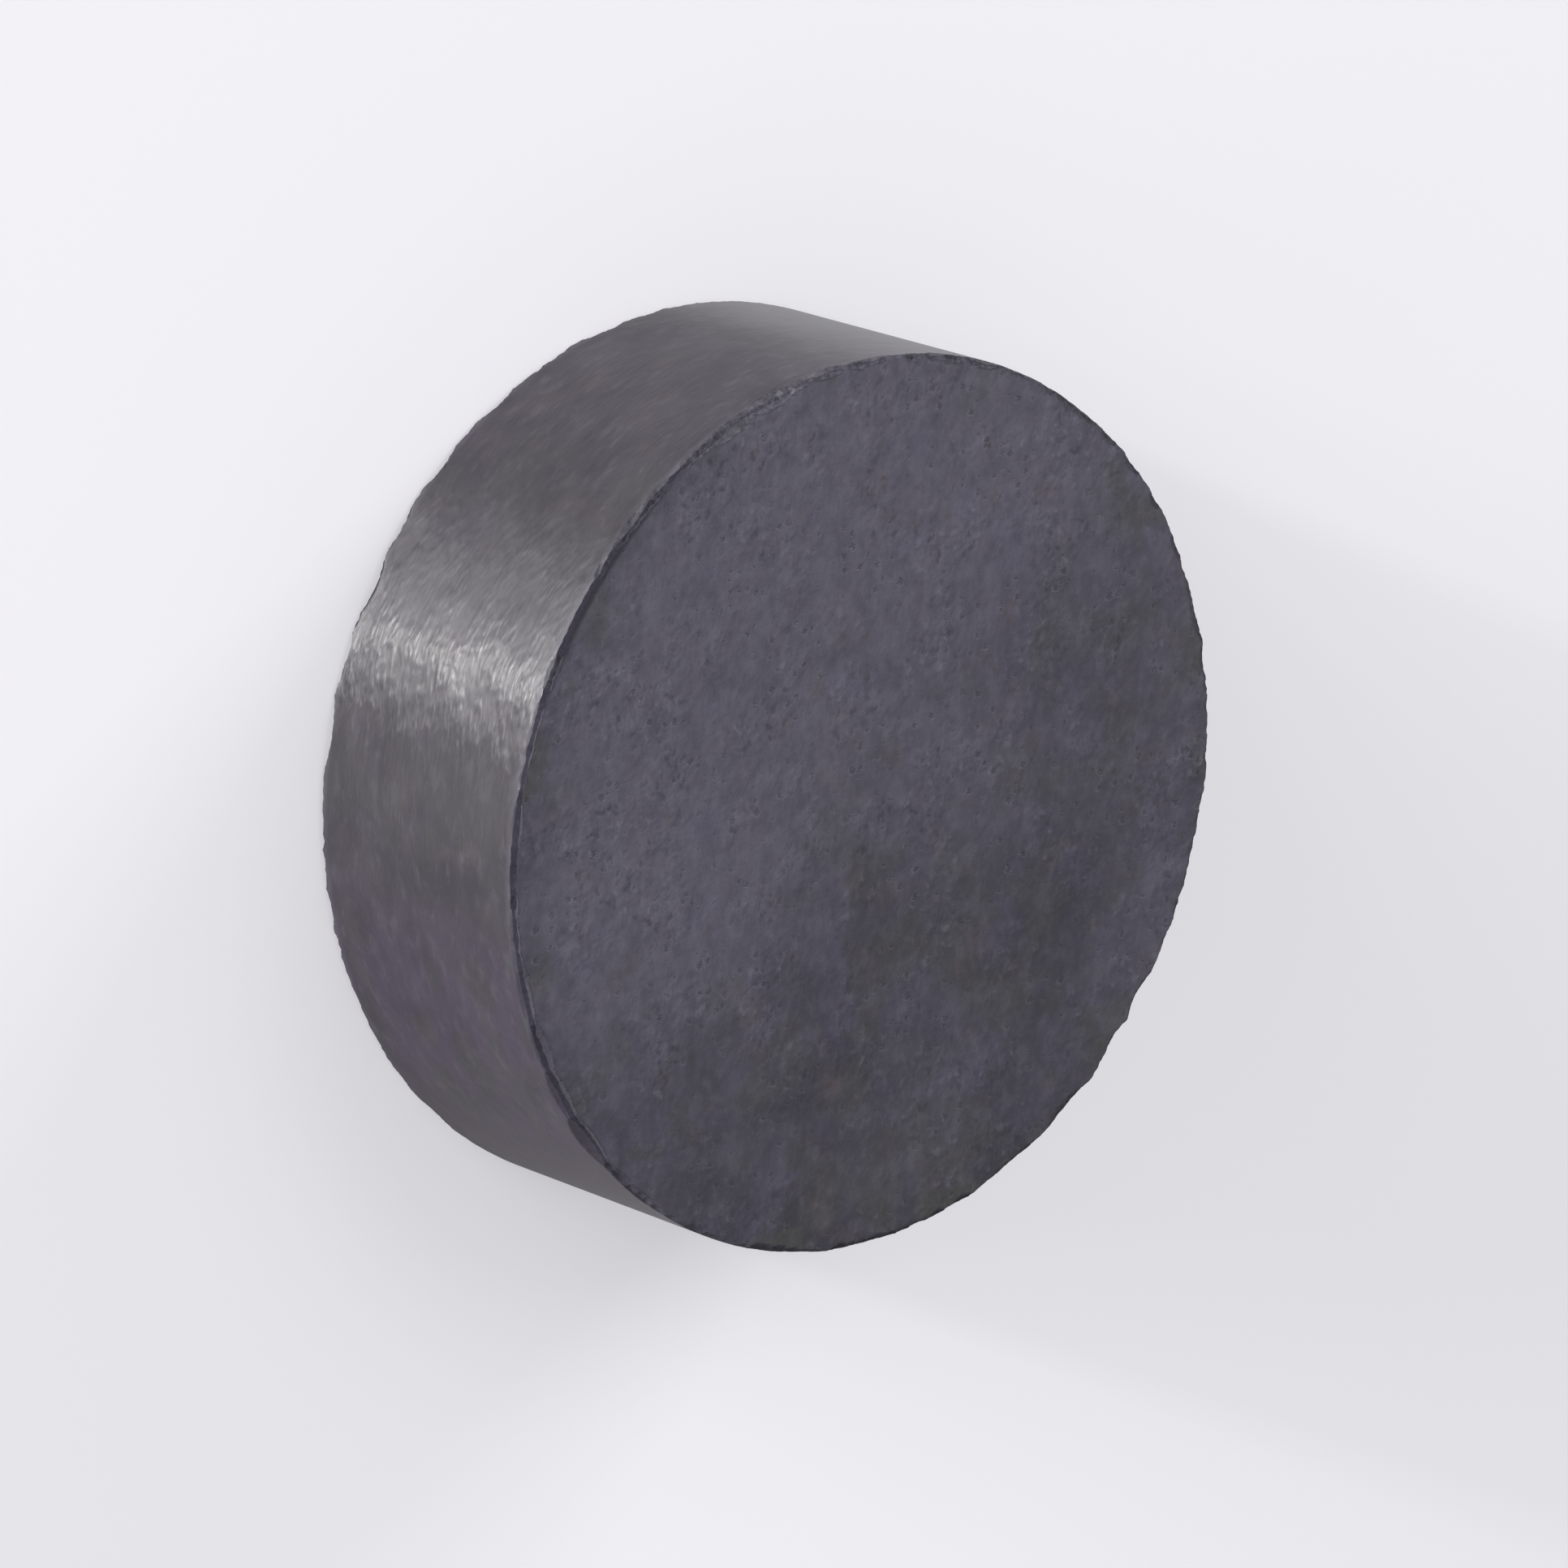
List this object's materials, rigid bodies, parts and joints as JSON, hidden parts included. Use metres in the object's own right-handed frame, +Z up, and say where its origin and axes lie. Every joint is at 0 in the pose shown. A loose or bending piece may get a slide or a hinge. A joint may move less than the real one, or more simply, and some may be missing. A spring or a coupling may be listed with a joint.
{
  "type": "disc magnet",
  "caption": "Plain round ferrite magnet disc with flat faces, a ground wall and lightly chipped rims.",
  "frame": {"origin": "centre of the bottom face, on the surface the disc lies on", "axes": "+Z up along the disc's axis, from the bottom face to the top face; +X and +Y lie in the bottom face, and no feature but the chips fixes their turn"},
  "size_m": [0.03, 0.03, 0.01],
  "materials": {
    "ferrite": "matt sintered faces, finely ground satin wall"
  },
  "bodies": {
    "root": {"disc": "ferrite"}
  },
  "joints": []
}
